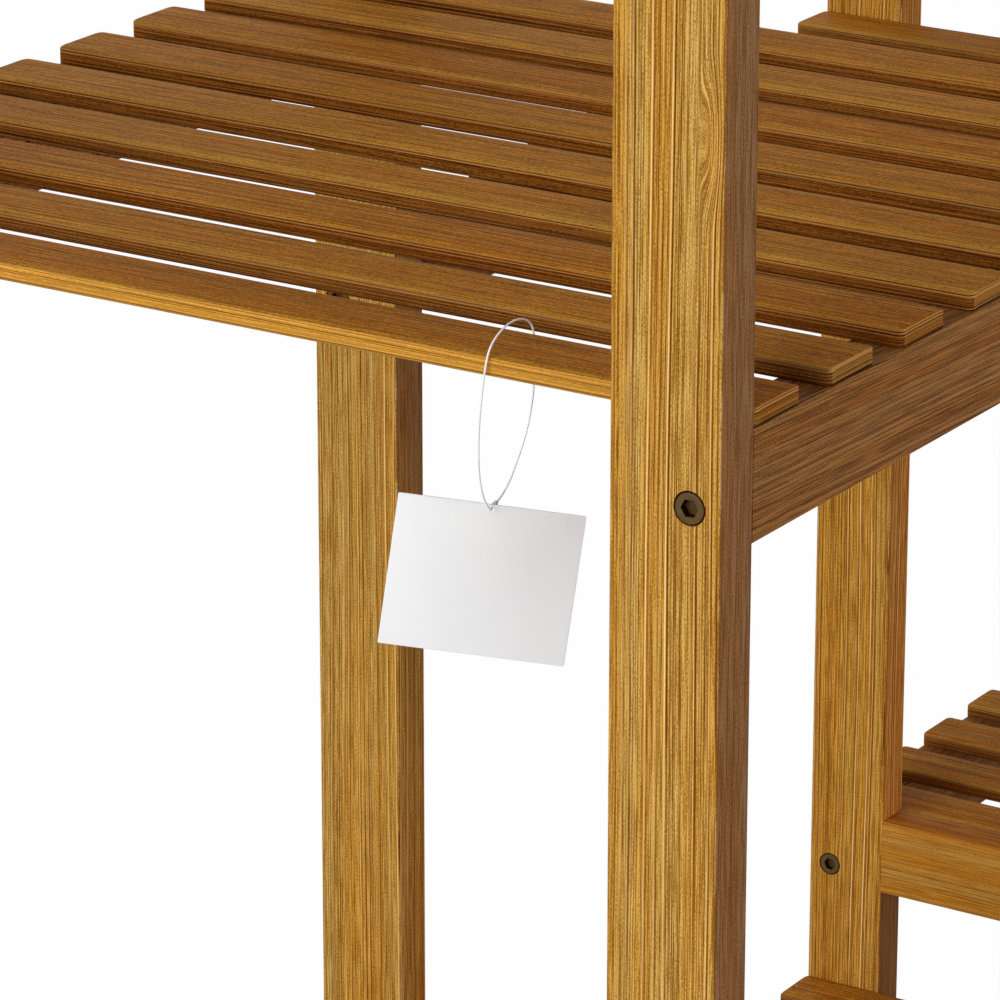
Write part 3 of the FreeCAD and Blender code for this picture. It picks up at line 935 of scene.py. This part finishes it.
tree.links.new(rough, shader.inputs["Roughness"])
bump = add(tree, "Bump", {"Height": rub, "Strength": 0.1, "Distance": 0.0001})
tree.links.new(bump.outputs[0], shader.inputs["Normal"])

bm = drill((0, 0, HEAD_HEIGHT / 2), 2, HEAD_RADIUS, HEAD_HEIGHT, segments=48)
outside = [face for face in bm.faces if face.normal.z < -SQUARE_ON]
ease(bm, list(outside[0].edges), HEAD_EASE, segments=4)
shank = [face for face in bm.faces if face.normal.z > SQUARE_ON]
bmesh.ops.inset_region(bm, faces=shank, thickness=HEAD_RADIUS - SHANK_RADIUS, use_even_offset=True)
grown = bmesh.ops.extrude_face_region(bm, geom=shank)
moved = [item for item in grown["geom"] if isinstance(item, bmesh.types.BMVert)]
bmesh.ops.translate(bm, vec=(0, 0, SHANK_LENGTH), verts=moved)
bmesh.ops.delete(bm, geom=[face for face in shank if face.is_valid], context="FACES_ONLY")
bmesh.ops.recalc_face_normals(bm, faces=bm.faces)
socket = drill((0, 0, 0), 2, SOCKET_RADIUS, 2 * SOCKET_DEPTH, segments=6)
bolt_pattern = soften(cut(bm, [socket]))
layer = bolt_pattern.attributes.new("wear_and_highlight", "FLOAT", "FACE")
for face, wear in zip(bolt_pattern.polygons, layer.data):
    if face.normal.z < -SQUARE_ON and face.center.z < HEAD_EASE / 2:
        wear.value = HEAD_WEAR
    elif face.normal.z < -SQUARE_ON and math.hypot(face.center.x, face.center.y) < SOCKET_RADIUS:
        wear.value = SOCKET_WEAR
for frame_number in FRAME_NUMBERS:
    low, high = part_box(f"post_front_{frame_number}")
    matrices = []
    for side in ("front", "back"):
        for seat in seats_of(side):
            if abs(seat.x - low.x) < WALL_MARGIN:
                way = Vector((1, 0, 0))
            elif abs(seat.x - high.x) < WALL_MARGIN:
                way = Vector((-1, 0, 0))
            else:
                continue
            turn = way.to_track_quat("Z", "Y").to_matrix().to_4x4()
            angle = draw.uniform(0, 1)
            if (seat - NEAR_BOLT).length < 2 * HEAD_RADIUS:
                angle = NEAR_TURN
            spin = Matrix.Rotation(angle, 4, "Z")
            matrices.append(Matrix.Translation(seat) @ turn @ spin)
    mesh = finished(repeat(bolt_pattern, matrices), f"bolts_{frame_number}")
    node = f"bolts_frame_{frame_number}"
    show(node + "_bronze", soften(mesh), bronze, nodes=[node])

# Dowels
# Short beech sticks, glued between posts and cross rails, out of sight. They keep the
# shape of the solids.

DOWEL_DARK = (0.45, 0.28, 0.15)
DOWEL_PALE = (0.68, 0.5, 0.31)

dowel_wood, tree, shader = material("beech dowel")
place = add(tree, "TexCoord").outputs["Object"]
pores = add(tree, "Mapping", {0: place})
pores.inputs["Scale"].default_value = (1, 0.08, 1)
fibre = add(tree, "TexNoise", {"Vector": pores.outputs[0], "Scale": 1800, "Detail": 3})
ramp = add(tree, "ValToRGB", {"Fac": fibre.outputs["Fac"]})
ramp.color_ramp.elements[0].color = rgba(DOWEL_DARK)
ramp.color_ramp.elements[1].color = rgba(DOWEL_PALE)
tree.links.new(ramp.outputs[0], shader.inputs["Base Color"])
shader.inputs["Roughness"].default_value = 0.7
for frame_number in FRAME_NUMBERS:
    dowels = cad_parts[f"dowels_frame_{frame_number}"]
    dowels.data.materials.clear()
    dowels.data.materials.append(dowel_wood)

# Floor and light
# A plain pale floor that reads white to the camera and keeps the unit's shadow, a wide
# soft key light from the left of the camera, a weaker rosy one from its right, and a weak
# warm one from behind the unit. The world adds a little light all round.

FLOOR_REACH = 14
FLOOR_SEEN = 0.985

floor_white, tree, shader = material("pale floor")
shader.inputs["Base Color"].default_value = (0.86, 0.86, 0.86, 1)
shader.inputs["Roughness"].default_value = 0.8


def seen_straight(tree):
    """1 for what the camera sees straight, in gloss or through glass."""
    rays = add(tree, "LightPath").outputs
    direct = maths(tree, "MAXIMUM", rays["Is Camera Ray"], rays["Is Glossy Ray"])
    return maths(tree, "MAXIMUM", direct, rays["Is Transmission Ray"])


bright = add(tree, "Emission", {"Color": (1, 1, 1, 1), "Strength": 1.0})
share = maths(tree, "MULTIPLY", seen_straight(tree), FLOOR_SEEN)
mixed = add(tree, "MixShader", {0: share, 1: shader.outputs[0], 2: bright.outputs[0]})
tree.links.new(mixed.outputs[0], tree.nodes["Material Output"].inputs["Surface"])
bm = bmesh.new()
bmesh.ops.create_grid(bm, x_segments=1, y_segments=1, size=FLOOR_REACH)
mesh = finished(bm, "floor")
mesh.materials.append(floor_white)
floor = bpy.data.objects.new("floor", mesh)
bpy.context.scene.collection.objects.link(floor)

world = bpy.data.worlds.new("studio")
bpy.context.scene.world = world
world.use_nodes = True
tree = world.node_tree
back = tree.nodes["Background"]
back.inputs["Color"].default_value = (1, 0.95, 0.93, 1)
back.inputs["Strength"].default_value = 0.14
white = add(tree, "Background", {"Color": (1, 1, 1, 1), "Strength": 1.0})
mixed = add(tree, "MixShader", {0: seen_straight(tree), 1: back.outputs[0], 2: white.outputs[0]})
tree.links.new(mixed.outputs[0], tree.nodes["World Output"].inputs["Surface"])


def lamp(name, way, strength, colour, spread):
    """A soft distant light that shines along a way."""
    data = bpy.data.lights.new(name, "SUN")
    data.energy = strength
    data.color = colour
    data.angle = math.radians(spread)
    made = bpy.data.objects.new(name, data)
    bpy.context.scene.collection.objects.link(made)
    made.rotation_euler = Vector(way).to_track_quat("-Z", "Y").to_euler()


lamp("key", (0.96, -0.16, -0.22), strength=3.1, colour=(1.0, 0.99, 0.93), spread=56)
lamp("fill", (0.1, 0.97, -0.12), strength=0.98, colour=(1.0, 0.84, 0.9), spread=60)
lamp("rear", (-0.7, -0.7, -0.12), strength=0.7, colour=(1.0, 0.97, 0.92), spread=60)
